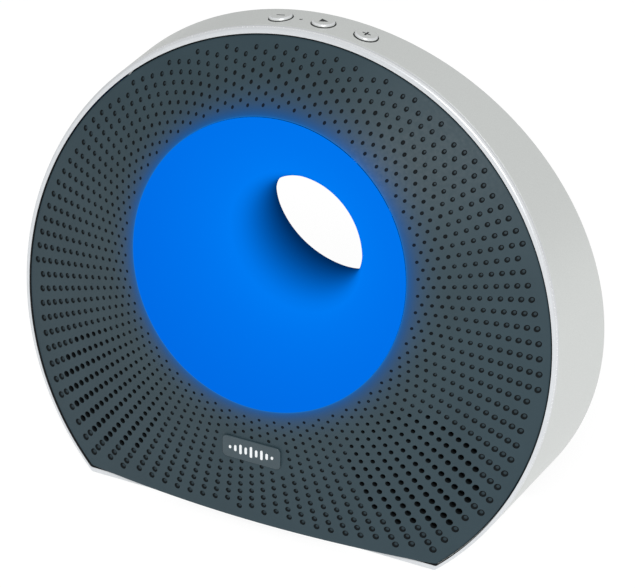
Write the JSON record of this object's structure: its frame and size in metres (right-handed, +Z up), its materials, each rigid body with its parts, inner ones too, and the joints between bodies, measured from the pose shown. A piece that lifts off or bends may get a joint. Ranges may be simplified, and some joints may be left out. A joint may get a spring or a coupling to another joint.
{
  "type": "ring-shaped wireless loudspeaker",
  "caption": "Round ring-shaped table loudspeaker on a flat base, with a lit blue funnel through its middle, a perforated front, a silver band and push buttons on top.",
  "frame": {"origin": "on the table, under the middle of the object's box", "axes": "+Z up, +X to the right of a person facing the grille, the grille faces -Y"},
  "size_m": [0.2037, 0.0801, 0.1768],
  "materials": {
    "grille": "fine satin moulded plastic",
    "badge": "satin moulded plastic",
    "badge_mark": "printed in white",
    "trim": "satin silver",
    "band": "satin silver with a fine metallic grain",
    "cover": "satin moulded plastic",
    "button": "satin silver",
    "rubber": "matt",
    "diffuser": "translucent, lit blue from behind",
    "inner_plastic": "moulded",
    "circuit_board": "solder mask",
    "lamp": "clear epoxy over phosphor",
    "clear_plastic": "clear",
    "chip": "moulded",
    "shield": "tinned",
    "capacitor": "sleeved can",
    "connector": "moulded",
    "cell": "shrink sleeve",
    "screw": "blackened",
    "basket": "pressed and painted",
    "seal": "matt",
    "magnet": "ferrite",
    "yoke": "zinc plated",
    "coil": "enamelled copper wire",
    "cone": "coated paper",
    "spider": "treated cloth"
  },
  "bodies": {
    "housing": {"amplifier_chip": "chip", "aux_jack": "chip", "badge_mark": "badge_mark", "badge_plate": "badge", "band_shell": "band", "battery_cell": "cell", "battery_tray": "inner_plastic", "bezel_ring": "trim", "bluetooth_module": "shield", "board_connectors": "connector", "board_screws": "screw", "button_keeper": "inner_plastic", "capacitors": "capacitor", "cover_screws": "screw", "driver_screws": "screw", "front_baffle": "inner_plastic", "front_grille": "grille", "key_board": "circuit_board", "key_screws": "screw", "key_switches": "chip", "led_board": "circuit_board", "led_chips": "lamp", "left_driver_frame": "basket", "left_driver_gasket": "seal", "left_magnet": "magnet", "left_spider": "spider", "left_surround": "seal", "left_yoke": "yoke", "light_funnel": "diffuser", "light_shroud": "inner_plastic", "main_board": "circuit_board", "port_board": "circuit_board", "port_panel": "cover", "power_switch": "chip", "rear_cover": "cover", "right_driver_frame": "basket", "right_driver_gasket": "seal", "right_magnet": "magnet", "right_spider": "spider", "right_surround": "seal", "right_yoke": "yoke", "rubber_feet": "rubber", "status_led": "lamp", "status_lens": "clear_plastic", "usb_socket": "shield"},
    "minus_key": {"button_minus": "button", "plunger_minus": "chip"},
    "play_key": {"button_play": "button", "plunger_play": "chip"},
    "plus_key": {"button_plus": "button", "plunger_plus": "chip"},
    "left_cone_group": {"left_cone": "cone", "left_dust_cap": "cone", "left_voice_coil": "coil"},
    "right_cone_group": {"right_cone": "cone", "right_dust_cap": "cone", "right_voice_coil": "coil"},
    "power_slider": {"power_knob": "chip"}
  },
  "joints": [
    {"name": "minus_press", "type": "slide", "parent": "housing", "child": "minus_key", "axis": [0.1478, 0, -0.989], "range_m": [0, 0.0005], "stiffness_N_per_m": 1000},
    {"name": "play_press", "type": "slide", "parent": "housing", "child": "play_key", "axis": [-0.007, 0, -1], "range_m": [0, 0.0005], "stiffness_N_per_m": 1000},
    {"name": "plus_press", "type": "slide", "parent": "housing", "child": "plus_key", "axis": [-0.1616, 0, -0.9869], "range_m": [0, 0.0005], "stiffness_N_per_m": 1000},
    {"name": "left_cone_travel", "type": "slide", "parent": "housing", "child": "left_cone_group", "axis": [0, -0.9899, 0.1416], "range_m": [-0.0008, 0.0008], "stiffness_N_per_m": 900, "deforming": ["left_surround", "left_spider"]},
    {"name": "right_cone_travel", "type": "slide", "parent": "housing", "child": "right_cone_group", "axis": [0, -0.9899, 0.1416], "range_m": [-0.0008, 0.0008], "stiffness_N_per_m": 900, "deforming": ["right_surround", "right_spider"]},
    {"name": "power_slide", "type": "slide", "parent": "housing", "child": "power_slider", "axis": [-1, 0, 0], "range_m": [0, 0.002]}
  ]
}
